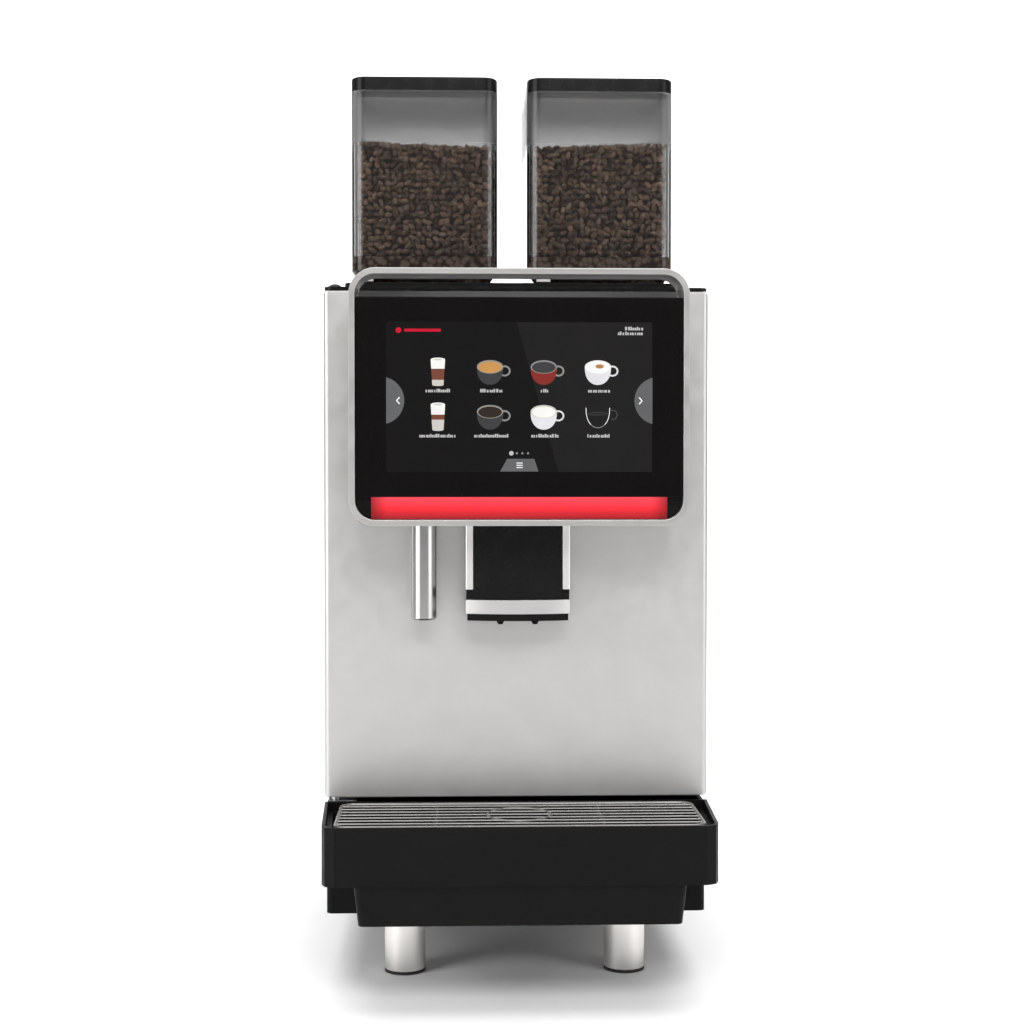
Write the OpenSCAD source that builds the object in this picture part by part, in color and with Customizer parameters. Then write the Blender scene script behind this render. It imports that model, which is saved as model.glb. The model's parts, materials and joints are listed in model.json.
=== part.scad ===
// Countertop bean-to-cup coffee machine, built as separate named pieces.
// Frame: +X right, +Y back, +Z up, origin on the floor under the middle of the box.

/* [Body] */
// Width over the door and the side panels
body_w = 340; // [330:1:350]
// Depth from the tray front to the cabinet back
body_d = 540; // [530:1:560]
// Front face of the door, measured from the middle
door_front = -160; // [-165:1:-155]
// Bottom of the base above the floor
base_bottom = 63; // [58:1:70]
// Bottom edge of the door
door_bottom = 167; // [167:1:170]
// Diameter of a leg
leg_d = 37; // [30:1:42]

/* [Display] */
// Outer width of the display frame
loop_w = 285; // [280:1:290]
// Outer height of the display frame
loop_h = 215; // [210:1:220]
// Bottom of the display frame
loop_bottom = 408.5; // [406:0.5:410]
// Thickness of the frame band
loop_band = 5; // [4:0.5:6]
// Front of the display frame
loop_front = -235; // [-236:1:-234]
// Top edge of the display glass
glass_top = 599.5; // [595:0.5:602]
// Bottom edge of the display glass
glass_bottom = 432.7; // [431:0.1:434]

/* [Spout] */
// Width of the coffee spout
spout_w = 90; // [86:1:92]
// Bottom of the spout band at rest
spout_bottom = 331.5; // [325:0.5:340]
// Distance between the two nozzles
nozzle_pitch = 30; // [26:1:34]
// Centre of the hot water tube from the middle
tube_x = -81; // [-90:1:-70]
// Outer diameter of the hot water tube
tube_d = 22; // [18:1:24]

/* [Tray] */
// Bottom of the upper part of the tray
tray_mid = 114; // [110:1:118]
// Bottom of the lower basin
tray_bottom = 80.5; // [78:0.5:84]
// Top rim of the tray
tray_top = 163; // [161:0.5:163]
// Number of bars in the grid
grid_bars = 7; // [6:1:9]

/* [Hoppers] */
// Width of one bean hopper
hopper_w = 138; // [130:1:140]
// Depth of one bean hopper
hopper_d = 160; // [150:1:170]
// Top edge of the hopper wall
hopper_top = 811.7; // [780:0.1:830]
// Level of the beans
bean_level = 766; // [700:1:790]
// Height of a hopper lid
lid_h = 13; // [10:1:16]

/* [Hidden] */
$fn = 64;
FACETS = 32;
half_w = body_w / 2;
back = body_d / 2;
tray_front = -back;
base_top = 160;
door_top = 612;
wall = 4;
deck_z = 616;
deck_top = 631;
hopper_x = 83;
hopper_y = 30;
hopper_z = 632;
hopper_wall = 4.5;
funnel_top = 656;
funnel_low = 641;
hopper_r = 14;
throat_r = 22;
gate_z = 635;
gate_h = 2.5;
hinge_x = -160;
hinge_y = -146;
hinge_pin_r = 4;
cabinet_front = -126;
inner_back = 250;
sheet = 1.5;
screw_r = 2;
brew_y = -62;
brew_r = 25;
spindle_y = -18;
spindle_r = 5;
grinder_r = 46;
burr_r = 32;
fan_x = -20;
fan_z = 500;
fan_r = 42;
rocker_x = -112;
rocker_y = 250;
rocker_z = 217;
rocker_rest = -7;
line_z = 205;
inlet_x = 30;
meter_x = -20;
meter_y = 190;
pump_x = -114;
pump_out_y = 72;
leg_places = [[-100, -115], [100, -115], [-100, 215], [100, 215]];
rear_screw_places = [for (x = [-154, 154], z = [180, 310, 450, 585]) [x, z]];

// ---------- shared shapes ----------

// A rectangle with round corners, centred on x and y.
module round_rect(w, d, r) {
    square([w - 2 * r, d], center = true);
    square([w, d - 2 * r], center = true);
    for (x = [-1, 1], y = [-1, 1])
        translate([x * (w / 2 - r), y * (d / 2 - r)])
            circle(r = r);
}

// An upright prism with round corners between two heights and two depths.
module slab(w, y0, y1, z0, z1, r, x = 0) {
    translate([x, (y0 + y1) / 2, z0])
        linear_extrude(z1 - z0)
            round_rect(w, y1 - y0, r);
}

// A front-facing plate with round corners between two depths.
module plate(w, z0, z1, y0, y1, r, x = 0) {
    translate([x, y1, (z0 + z1) / 2])
        rotate([90, 0, 0])
            linear_extrude(y1 - y0)
                round_rect(w, z1 - z0, r);
}

// A box given by its low and high corners.
module block(x, y, z) {
    translate([x[0], y[0], z[0]])
        cube([x[1] - x[0], y[1] - y[0], z[1] - z[0]]);
}

// An upright rod.
module rod(x, y, z0, z1, r) {
    translate([x, y, z0])
        cylinder(h = z1 - z0, r = r);
}

// A rod along y.
module rod_y(x, z, y0, y1, r) {
    translate([x, y1, z])
        rotate([90, 0, 0])
            cylinder(h = y1 - y0, r = r);
}

// A rod along x.
module rod_x(y, z, x0, x1, r) {
    translate([x0, y, z])
        rotate([0, 90, 0])
            cylinder(h = x1 - x0, r = r);
}

// ---------- base and cabinet ----------

// Hollow moulded base with an open slot at the front for the tray.
module base_body() {
    front = door_front + 3;
    rear = back - 2;
    slot_half = 126;
    rail_x = 119;
    color("#1c1b1a")
    difference() {
        union() {
            difference() {
                slab(body_w - 4, front, rear, base_bottom, base_top, 5);
                slab(body_w - 4 - 2 * wall, front + wall, rear - wall,
                    base_bottom + wall, base_top + 1, 3);
                block([-slot_half, slot_half], [front - 1, front + wall + 1], [76, 153]);
            }
            for (p = leg_places)
                rod(p[0], p[1], base_bottom + wall - 0.5, base_bottom + 14, 12);
            for (side = [-1, 1])
                block([side * rail_x - 5, side * rail_x + 5], [front + wall - 0.5, -95],
                    [base_bottom + wall - 0.5, tray_bottom]);
        }
        for (p = leg_places)
            rod(p[0], p[1], base_bottom - 1, base_bottom + 15, 5.2);
    }
}

// Folded steel frame: floor, four corner posts and a top plate.
module chassis_frame() {
    half = half_w - 5;
    top = 602;
    color("#8d9092")
    difference() {
        union() {
            block([-half, half], [cabinet_front, inner_back], [base_top, base_top + 2]);
            block([-half, half], [cabinet_front, inner_back], [top - 2, top]);
            for (x = [-1, 1], y = [0, 1])
                translate([x * (half - 9), y == 0 ? cabinet_front + 9 : inner_back - 9, base_top])
                    difference() {
                        cube_on_floor(18, 18, top - base_top);
                        translate([-x * 2, y == 0 ? 2 : -2, -1])
                            cube_on_floor(18, 18, top - base_top + 2);
                    }
        }
        for (side = [-1, 1])
            rod(side * hopper_x, hopper_y, top - 3, top + 1, throat_r + 5);
    }
}

// A box centred on x and y that stands on zero height.
module cube_on_floor(w, d, h) {
    translate([-w / 2, -d / 2, 0])
        cube([w, d, h]);
}

// Sheet side panel with folded front and rear edges.
module side_panel(side) {
    outer = half_w - 0.5;
    difference() {
        translate([side * (outer - 2), 0, 0])
            block([-2, 2], [cabinet_front, back - 1], [base_top + 2.5, 601.5]);
        translate([side * (outer - 2 - sheet), 0, 0])
            block([-2, 2], [cabinet_front + sheet, back - 1 - sheet], [base_top, 602]);
        for (i = [0:7])
            translate([side * outer, 150, 250 + i * 12])
                cube([10, 70, 4], center = true);
    }
}

module left_side_panel() {
    color("#2a2a2b") side_panel(-1);
}

module right_side_panel() {
    color("#2a2a2b") side_panel(1);
}

// Rear sheet with a fan grille, connector openings and screw holes.
module rear_panel() {
    half = half_w - 5;
    color("#3a3b3c")
    difference() {
        block([-half, half], [inner_back + 0.3, inner_back + 0.3 + sheet], [base_top + 2.5, 601]);
        for (i = [-4:4])
            translate([fan_x, inner_back, fan_z + i * 9])
                cube([2 * sqrt(fan_r * fan_r - i * i * 81), 10, 5], center = true);
        for (i = [0:5])
            translate([0, inner_back, 300 + i * 12])
                cube([180, 10, 4], center = true);
        translate([-112, inner_back, 205])
            cube([31, 10, 53], center = true);
        rod_y(inlet_x, line_z, inner_back - 5, inner_back + 5, 11);
        for (p = rear_screw_places)
            rod_y(p[0], p[1], inner_back - 5, inner_back + 5, screw_r + 0.2);
    }
}

// Moulded top with a thin lip over the door and two hopper throat holes.
module top_cover() {
    color("#151414")
    difference() {
        slab(body_w - 2, door_front + 2, back, 602, deck_z, 8);
        block([-half_w, half_w], [door_front - 1, cabinet_front - 1], [600, deck_z - 3]);
        block([-158, 158], [cabinet_front + 3, back - 4], [601, 612]);
        for (side = [-1, 1])
            rod(side * hopper_x, hopper_y, 600, deck_z + 1, throat_r + 6);
        rod(hinge_x, hinge_y, 600, deck_z + 1, 5.2);
    }
}

// Raised platform that locates both hoppers.
module hopper_deck() {
    color("#121111")
    difference() {
        slab(316, -58, 178, deck_z, deck_top, 12);
        slab(306, -53, 173, deck_z - 1, deck_top - 4, 8);
        for (side = [-1, 1])
            rod(side * hopper_x, hopper_y, deck_z, deck_top + 1, throat_r + 6);
    }
}

// Four tubular legs with threaded studs into the base.
module leg_tubes() {
    color("#b9b6b2")
    for (p = leg_places) {
        rod(p[0], p[1], 3, base_bottom, leg_d / 2);
        rod(p[0], p[1], base_bottom - 1, base_bottom + 18, 5);
    }
}

module leg_pads() {
    color("#141313")
    for (p = leg_places)
        rod(p[0], p[1], 0, 3, leg_d / 2);
}

// Steel plate on the base with the lower hinge pin.
module lower_hinge_bracket() {
    color("#a7a9ab") {
        block([-166, -142], [door_front + 5, cabinet_front - 2], [base_top, base_top + 3]);
        rod(hinge_x, hinge_y, base_top + 1, door_bottom + 14, hinge_pin_r);
    }
}

// Upper hinge pin through the top lip, with a low round cap.
module upper_hinge_pin() {
    color("#1a1a1a") {
        rod(hinge_x, hinge_y, door_top - 12, deck_z + 0.5, hinge_pin_r);
        translate([hinge_x, hinge_y, deck_z])
            rotate_extrude()
                intersection() {
                    translate([0, -5.5])
                        circle(r = 9);
                    square([8, 6]);
                }
    }
}

// ---------- water system ----------

// Upright pressure boiler with stepped ends, heater pins and a welded foot.
module boiler() {
    color("#c9c3b8")
    translate([98, 176, 0]) {
        rod(0, 0, 190, 370, 48);
        for (z = [186, 370])
            rod(0, 0, z, z + 4, 42);
        rod(0, 0, 372, 384, 22);
        for (a = [0, 120, 240])
            rotate([0, 0, a]) rod(14, 0, 383, 394, 3);
        rod(-34, 0, 370, 392, 5);
        block([-30, 30], [-30, 30], [base_top + 2, base_top + 5]);
        for (side = [-1, 1])
            block([side * 25 - 2, side * 25 + 2], [-24, 24], [base_top + 4, 187]);
    }
}

// Rotary pump with its motor lying along y.
module water_pump() {
    color("#6c7377") {
        rod_y(pump_x, line_z, -50, 50, 34);
        rod_y(pump_x, line_z, 50, 92, 24);
        block([pump_x - 22, pump_x + 22], [-30, 40], [base_top + 2, line_z - 25]);
        rod_x(pump_out_y, line_z, pump_x, pump_x + 36, 6);
        rod(pump_x, pump_out_y, line_z, line_z + 32, 6);
    }
}

// Small flow meter between the inlet and the pump.
module flow_meter() {
    color("#e3e3df") {
        rod(meter_x, meter_y, line_z - 9, line_z + 9, 17);
        rod_x(meter_y, line_z, meter_x - 32, meter_x + 32, 4);
        block([meter_x - 7, meter_x + 7], [meter_y - 7, meter_y + 7], [base_top + 2, line_z - 8]);
    }
}

// Brass valve block with three solenoid coils.
module valve_block() {
    color("#b9a05e") {
        block([60, 150], [62, 84], [250, 272]);
        for (i = [0:2]) {
            block([66 + i * 28, 88 + i * 28], [62, 84], [272, 300]);
            rod(77 + i * 28, 73, 300, 306, 5);
        }
        block([95, 115], [70, 80], [base_top + 2, 250]);
    }
}

// A quarter bend of round wire.
module bend(r, bend_r) {
    rotate_extrude(angle = 90)
        translate([bend_r, 0]) circle(r = r);
}

// A tube along a list of points, with ball corners.
module pipe(points, r) {
    for (i = [1:len(points) - 1]) {
        step = points[i] - points[i - 1];
        translate(points[i - 1])
            rotate([0, acos(step[2] / norm(step)), atan2(step[1], step[0])])
                cylinder(h = norm(step), r = r);
        if (i < len(points) - 1)
            translate(points[i]) sphere(r = r);
    }
}

// Lines between the inlet, meter, pump, valves, boiler and brew chamber.
module water_lines() {
    meter_line_x = meter_x - 38;
    color("#b87a4b") {
        pipe([[inlet_x, inner_back - 26.2, line_z], [inlet_x, meter_y, line_z],
            [meter_x + 32.2, meter_y, line_z]], 3.5);
        pipe([[meter_x - 32.2, meter_y, line_z], [meter_line_x, meter_y, line_z],
            [meter_line_x, pump_out_y, line_z], [pump_x + 36.2, pump_out_y, line_z]], 3.5);
        pipe([[pump_x, pump_out_y, line_z + 32.2], [pump_x, pump_out_y, 276],
            [40, pump_out_y, 276], [40, 73, 261], [59.8, 73, 261]], 3);
        rod_y(98, 261, 84.2, 127.8, 3);
        pipe([[64, 176, 392.2], [64, 176, 425], [64, brew_y, 425],
            [28, brew_y, 425], [28, brew_y, 408.2]], 3);
    }
}

// ---------- brewing ----------

// Two side cheeks, a bridge and two legs that hold the brew chamber.
module brew_frame() {
    color("#303236")
    difference() {
        union() {
            for (side = [-1, 1])
                block([side * 44 - 3, side * 44 + 3], [-110, -8], [246, 404]);
            block([-45, 45], [-108, -8], [246, 252]);
            block([-45, 45], [-100, -3], [398, 404]);
            block([-79, 79], [-40, -8], [246, 249]);
            for (side = [-1, 1])
                block([side * 77.5 - 1.5, side * 77.5 + 1.5], [-40, -8], [base_top + 2, 248]);
        }
        rod(0, brew_y, 390, 410, brew_r + 5.1);
        rod(0, spindle_y, 240, 410, spindle_r + 3);
        block([-30, 30], [-98, -38], [240, 253]);
    }
}

// Open brewing cylinder with a flange.
module brew_chamber() {
    color("#4a3a30")
    difference() {
        union() {
            rod(0, brew_y, 345, 404, brew_r + 5);
            rod(0, brew_y, 404, 408, brew_r + 7);
        }
        rod(0, brew_y, 344, 409, brew_r + 0.05);
    }
}

// Piston head, stem and nut arm that rides on the spindle.
module brew_piston() {
    color("#d8d3c8")
    difference() {
        union() {
            rod(0, brew_y, 347, 358, brew_r);
            rod(0, brew_y, 296, 348, 9);
            block([-12, 12], [brew_y - 12, spindle_y + 12], [290, 300]);
            rod(0, spindle_y, 284, 306, 11);
        }
        rod(0, spindle_y, 280, 310, spindle_r + 0.05);
    }
}

// Lead screw that lifts the piston.
module brew_spindle() {
    color("#c4c7ca") {
        rod(0, spindle_y, 246, 404, spindle_r);
        rod(0, spindle_y, 404.5, 410, spindle_r + 4);
        rod(0, spindle_y, 403, 405, spindle_r);
    }
}

// Gear motor that turns the lead screw.
module brew_motor() {
    color("#54585c") {
        block([-22, 22], [-6, 44], [404, 409]);
        difference() {
            block([-20, 20], [-42, 30], [411, 428]);
            rod(0, spindle_y, 410, 420, spindle_r + 4.5);
        }
        rod(0, 14, 350, 404.5, 15);
        block([-16, 16], [18, 30], [408, 412]);
    }
}

// Grinder body under one hopper: a collar, a burr case and an outlet.
module grinder_housing(side) {
    x = side * hopper_x;
    outlet_turn = side > 0 ? 242 : -62;
    difference() {
        union() {
            rod(x, hopper_y, 545, 592, grinder_r);
            rod(x, hopper_y, 592, 600, throat_r + 10);
            translate([x, hopper_y, 545])
                rotate([0, 0, outlet_turn])
                    block([0, 105], [-12, 12], [0, 18]);
        }
        translate([x, hopper_y, 545])
            rotate([0, 0, outlet_turn]) {
                block([28, 101], [-8, 8], [3, 15]);
                block([85, 101], [-8, 8], [-1, 4]);
            }
        rod(x, hopper_y, 560, 601, throat_r - 3);
        rod(x, hopper_y, 544, 580, burr_r + 1);
    }
}

module grinder_housings() {
    color("#2d2f31")
    for (side = [-1, 1])
        grinder_housing(side);
}

// Conical lower burr on its shaft, which turns to grind.
module burr(side) {
    x = side * hopper_x;
    difference() {
        union() {
            rod(x, hopper_y, 549, 572, burr_r);
            translate([x, hopper_y, 572])
                cylinder(h = 16, r1 = 18, r2 = 8);
            rod(x, hopper_y, 530, 550, 5);
        }
        for (a = [0:30:330])
            translate([x, hopper_y, 571])
                rotate([0, 0, a])
                    translate([24, 0, 0])
                        cube([14, 2.5, 4], center = true);
    }
}

module burr_left() {
    color("#9da0a3") burr(-1);
}

module burr_right() {
    color("#9da0a3") burr(1);
}

// Two grinder motors with a bearing hole for each burr shaft.
module grinder_motors() {
    color("#74787b")
    for (side = [-1, 1])
        difference() {
            union() {
                rod(side * hopper_x, hopper_y, 440, 538, 34);
                rod(side * hopper_x, hopper_y, 538, 545, 40);
            }
            rod(side * hopper_x, hopper_y, 520, 546, 5.05);
        }
}

// Funnel that takes ground coffee from both grinders to the brew chamber.
module grounds_chute() {
    color("#26282a")
    difference() {
        union() {
            block([-48, 48], [-94, -38], [486, 544]);
            block([-22, 22], [-84, -50], [432, 487]);
        }
        block([-45, 45], [-91, -41], [490, 545]);
        block([-18, 18], [-80, -54], [431, 491]);
    }
}

// Open box under the brew unit that collects spent grounds.
module grounds_bin() {
    color("#1f2022")
    difference() {
        union() {
            slab(150, -122, 6, base_top + 2.2, 236, 6);
            block([-30, 30], [-124, -121], [200, 226]);
        }
        slab(144, -119, 3, base_top + 5, 237, 4);
    }
}

// ---------- electrics ----------

module power_supply() {
    color("#9ea2a4")
    difference() {
        block([-152, -64], [126, 220], [base_top + 2, 262]);
        for (i = [0:6])
            block([-140 + i * 11, -136 + i * 11], [140, 200], [258, 263]);
    }
}

// Control board on four stand-offs with its larger components.
module main_board() {
    color("#1f5a3c")
    union() {
        block([-158, -156], [-70, 110], [300, 420]);
        for (y = [-60, 100], z = [310, 410])
            rod_x(y, z, -163, -157, 3);
        block([-156.5, -142], [-40, -10], [320, 350]);
        block([-156.5, -148], [10, 60], [340, 380]);
        for (i = [0:3])
            rod_x(-50 + i * 22, 400, -157, -136, 7);
        block([-156.5, -146], [70, 100], [310, 400]);
    }
}

// Square fan frame with a hub carried by three struts.
module fan_housing() {
    color("#17181a")
    difference() {
        union() {
            difference() {
                plate(92, fan_z - 46, fan_z + 46, inner_back - 25, inner_back, 5, fan_x);
                rod_y(fan_x, fan_z, inner_back - 26, inner_back + 1, fan_r);
            }
            for (a = [90, 210, 330])
                translate([fan_x, inner_back - 1, fan_z])
                    rotate([0, a, 0])
                        translate([21, 0, 0])
                            cube([44, 2, 4], center = true);
            rod_y(fan_x, fan_z, inner_back - 6, inner_back, 16);
        }
        for (x = [-1, 1], z = [-1, 1])
            rod_y(fan_x + x * 40, fan_z + z * 40, inner_back - 26, inner_back + 1, 2.2);
    }
}

// Hub with seven slanted blades.
module fan_rotor() {
    mid = inner_back - 15;
    color("#202225") {
        rod_y(fan_x, fan_z, mid - 8, mid + 8, 15);
        intersection() {
            for (i = [0:6])
                translate([fan_x, mid, fan_z])
                    rotate([0, i * 360 / 7, 0])
                        translate([27, 0, 0])
                            rotate([35, 0, 0])
                                cube([28, 1.6, 20], center = true);
            rod_y(fan_x, fan_z, mid - 8, mid + 8, fan_r - 1);
        }
    }
}

// Rocker of the power switch, pivoting on a short pin.
module power_rocker() {
    color("#b3201f")
    difference() {
        intersection() {
            translate([rocker_x, rocker_y, rocker_z])
                rotate([rocker_rest, 0, 0])
                    translate([-8, -4, -7.5])
                        cube([16, 11, 15]);
            rod_x(rocker_y, rocker_z, rocker_x - 9, rocker_x + 9, 9.6);
        }
        rod_x(rocker_y, rocker_z, rocker_x - 9, rocker_x + 9, 1.55);
    }
}

// Socket block with a power inlet and a recess with a pin for the rocker.
module mains_inlet() {
    color("#0f0f10")
    difference() {
        union() {
            plate(30, 180, 230, inner_back - 26, inner_back + 2, 2, -112);
            plate(38, 176, 234, inner_back + 2, inner_back + 5, 3, -112);
        }
        plate(22, 184, 202, inner_back - 14, inner_back + 6, 3, rocker_x);
        plate(17.4, rocker_z - 11, rocker_z + 11, rocker_y - 11, inner_back + 6, 1, rocker_x);
    }
    color("#8f9294")
    rod_x(rocker_y, rocker_z, rocker_x - 9, rocker_x + 9, 1.5);
}

// Brass water inlet with an external thread.
module water_inlet() {
    color("#c2a566")
    difference() {
        union() {
            rod_y(inlet_x, line_z, inner_back - 26, inner_back - 1, 9);
            rod_y(inlet_x, line_z, inner_back - 10, inner_back, 15);
            rod_y(inlet_x, line_z, inner_back - 1, inner_back + 3, 9.8);
            rod_y(inlet_x, line_z, inner_back + 2.2, inner_back + 17, 10.5);
        }
        rod_y(inlet_x, line_z, inner_back - 27, inner_back + 18, 6);
    }
}

module rear_screws() {
    color("#8f9294")
    for (p = rear_screw_places) {
        rod_y(p[0], p[1], inner_back + 0.3 + sheet, inner_back + 4, 4);
        rod_y(p[0], p[1], inner_back + 0.2, inner_back + 2, screw_r);
    }
}

// ---------- door ----------

// Thin front shell with rounded edges, open at the back.
module door_panel() {
    depth = 26;
    inner = 2;
    rear = door_front + depth;
    color("#b8b8b8")
    difference() {
        intersection() {
            slab(body_w - 1, door_front, rear + 20, door_bottom, door_top, 5);
            plate(body_w - 1, door_bottom, door_top, door_front - 1, rear, 4);
        }
        slab(body_w - 1 - 2 * inner, door_front + inner, rear + 20,
            door_bottom + inner, door_top - inner, 3);
        rod(hinge_x, hinge_y, door_bottom - 1, door_bottom + inner + 1, 6);
        rod(hinge_x, hinge_y, door_top - inner - 1, door_top + 1, 6);
    }
}

// Moulded pan that closes the back of the door and holds the hinge bushes.
module door_liner() {
    half = half_w - 3;
    low = door_bottom + 2.5;
    high = door_top - 2.5;
    color("#1b1b1c")
    difference() {
        union() {
            difference() {
                block([-half, half], [door_front + 6, door_front + 28], [low, high]);
                block([-half + 3, half - 3], [door_front + 5, door_front + 25], [low + 3, high - 3]);
            }
            for (z = [low, high - 12])
                block([-half, hinge_x + 10], [door_front + 6, door_front + 27], [z, z + 12]);
            for (z = [250, 330, 540])
                block([-half, half], [door_front + 18, door_front + 26], [z, z + 3]);
        }
        for (z = [low, high - 12])
            rod(hinge_x, hinge_y, z - 1, z + 13, 6.5);
        block([-30, 30], [door_front + 20, door_front + 29], [430, 500]);
    }
}

// Two plastic hinge bushes.
module door_bushes() {
    color("#e6e4dc")
    for (z = [door_bottom + 2.5, door_top - 14.5])
        difference() {
            rod(hinge_x, hinge_y, z, z + 12, 6.5);
            rod(hinge_x, hinge_y, z - 1, z + 13, hinge_pin_r + 0.05);
        }
}

// ---------- display ----------

loop_rear = loop_front + 38;
loop_top = loop_bottom + loop_h;
channel_w = spout_w + 4;
channel_top = 517;

// Flat metal band bent into a closed round-cornered frame.
module display_frame() {
    color("#b5b2b0")
    difference() {
        plate(loop_w, loop_bottom, loop_top, loop_front, loop_rear, 22);
        plate(loop_w - 2 * loop_band, loop_bottom + loop_band, loop_top - loop_band,
            loop_front - 1, loop_rear + 1, 22 - loop_band);
    }
}

module display_glass() {
    color("#0b0b0c")
    plate(loop_w - 2 * loop_band - 1, glass_bottom, glass_top, -233, -229, 1.5);
}

// Screen panel with its driver board.
module display_module() {
    color("#1d1e20") {
        block([-116, 116], [-228.5, -222], [448, 584]);
        block([-100, 100], [-222.5, -220.5], [460, 570]);
        block([-60, -20], [-221, -214], [524, 560]);
    }
}

// Black case around the screen, hollow behind it.
module display_housing() {
    w = loop_w - 2 * loop_band - 1;
    inner_low = loop_bottom + loop_band + 0.2;
    color("#141415")
    difference() {
        intersection() {
            plate(w, inner_low, inner_low + 200, -228.8, loop_rear, 16);
            block([-w / 2, w / 2], [-228.8, loop_rear], [inner_low, glass_top]);
        }
        block([-122, 122], [-229, -210], [444, 590]);
        block([-122, 122], [-212, loop_rear - 3], [450, 584]);
    }
}

// Rear shell that joins the display to the door, with a channel for the spout.
module display_back() {
    color("#b9b9b8")
    difference() {
        plate(274, loop_bottom + 1, 608, loop_rear + 0.2, door_front, 2);
        block([-channel_w / 2, channel_w / 2], [loop_rear - 1, door_front + 1], [400, channel_top]);
        block([-128, 128], [loop_rear - 1, door_front - 3], [channel_top + 3, 600]);
        rod(tube_x, (loop_rear + door_front) / 2 - 7, loop_bottom, 420, 9);
    }
}

// Light diffuser under the glass.
module light_bar() {
    color("#ff3040")
    block([-124, 124], [-232.5, -228.9], [loop_bottom + loop_band + 0.5, glass_bottom - 0.2]);
}

// Polished outlet tube for hot water.
module hot_water_tube() {
    y = (loop_rear + door_front) / 2 - 7;
    color("#c9c9c9")
    difference() {
        union() {
            rod(tube_x, y, 327.5, loop_bottom + 1, tube_d / 2);
            translate([tube_x, y, 326])
                cylinder(h = 1.5, r1 = tube_d / 2 - 1.5, r2 = tube_d / 2);
        }
        rod(tube_x, y, 325, loop_bottom + 2, tube_d / 2 - 4);
    }
}

// ---------- spout ----------

// Vertical rail on the door that the spout slides along.
module spout_guide() {
    color("#8e9092") {
        block([-9, 9], [door_front - 6, door_front], [358, 510]);
        block([-16, 16], [door_front - 11, door_front - 6], [358, 510]);
    }
}

spout_front = -195.5;
spout_rear = -163;
sleeve_top = 498;

// Long sleeve of the spout, with a groove for the rail.
module spout_cover() {
    half = spout_w / 2 - 7;
    color("#0e0e0f")
    difference() {
        union() {
            block([-half, half], [spout_front, spout_rear], [spout_bottom + 13, sleeve_top]);
            block([-spout_w / 2 + 0.6, spout_w / 2 - 0.6], [spout_front + 3, spout_rear],
                [spout_bottom + 12, spout_bottom + 21]);
        }
        block([-half + 3, half - 3], [spout_front + 3, -182], [360, sleeve_top + 1]);
        block([-16.5, 16.5], [door_front - 11.5, door_front - 5.5], [300, sleeve_top + 1]);
        block([-9.5, 9.5], [door_front - 7, door_front], [300, sleeve_top + 1]);
    }
}

// Bright strips on both sides of the spout.
module spout_trim() {
    inner = spout_w / 2 - 7;
    color("#c4c4c4")
    for (side = [-1, 1])
        translate([side * (inner + 3.5), 0, 0])
            slab(7, spout_front + 0.6, spout_rear - 6, spout_bottom + 21, sleeve_top, 1.2);
}

// A bowed bar across the spout, rounder at the front.
module bowed(w, y_mid, y_rear, z0, z1) {
    bow_r = 134;
    intersection() {
        block([-w / 2, w / 2], [y_mid - 1, y_rear], [z0, z1]);
        rod(0, y_mid + bow_r, z0 - 1, z1 + 1, bow_r);
    }
}

module spout_band() {
    color("#c8c6c3")
    bowed(spout_w, spout_front - 5, spout_rear - 2, spout_bottom, spout_bottom + 12);
}

// Nozzle carrier with two short outlets.
module nozzle_block() {
    nozzle_y = -188;
    color("#101010")
    difference() {
        union() {
            bowed(spout_w - 3, spout_front - 4, spout_rear - 5, spout_bottom - 6, spout_bottom);
            for (side = [-1, 1])
                translate([side * nozzle_pitch / 2, nozzle_y, spout_bottom - 9.5])
                    cylinder(h = 4, r1 = 2, r2 = 4.2);
        }
        for (side = [-1, 1])
            rod(side * nozzle_pitch / 2, nozzle_y, spout_bottom - 10, spout_bottom - 2, 1.4);
    }
}

// ---------- tray ----------

// Outline of the upper tray from above, moved inwards by the given inset.
function tray_outline(inset) = [
    [-153 + inset * 0.6, tray_front + inset], [153 - inset * 0.6, tray_front + inset],
    [161 - inset, tray_front + 4 + inset * 0.4], [164 - inset, tray_front + 12],
    [169 - inset, door_front + 1 - inset], [-169 + inset, door_front + 1 - inset],
    [-164 + inset, tray_front + 12], [-161 + inset, tray_front + 4 + inset * 0.4],
];

// Basin with wide wings, a lower tub and a tongue that slides into the base.
module drip_tray() {
    rear = door_front + 1;
    color("#1f1e1d")
    difference() {
        union() {
            translate([0, 0, tray_mid])
                linear_extrude(tray_top - tray_mid)
                    polygon(tray_outline(0));
            hull() {
                slab(275, tray_front + 3, rear, tray_mid - 0.5, tray_mid + 1, 6, $fn = FACETS);
                slab(268, tray_front + 5, rear, tray_bottom, tray_bottom + 1, 6, $fn = FACETS);
            }
            block([-124, 124], [rear - 2, -102], [82, 150]);
        }
        translate([0, 0, tray_top - 8])
            linear_extrude(9)
                polygon(tray_outline(3));
        translate([0, 0, tray_mid + 4])
            linear_extrude(60)
                polygon(tray_outline(8));
        slab(254, tray_front + 12, rear - 6, tray_bottom + 4, tray_mid + 6, 6);
        block([-118, 118], [rear - 10, -106], [88, 151]);
        block([-124.5, 124.5], [rear - 1.5, -101], [150, 170]);
    }
}

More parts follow.
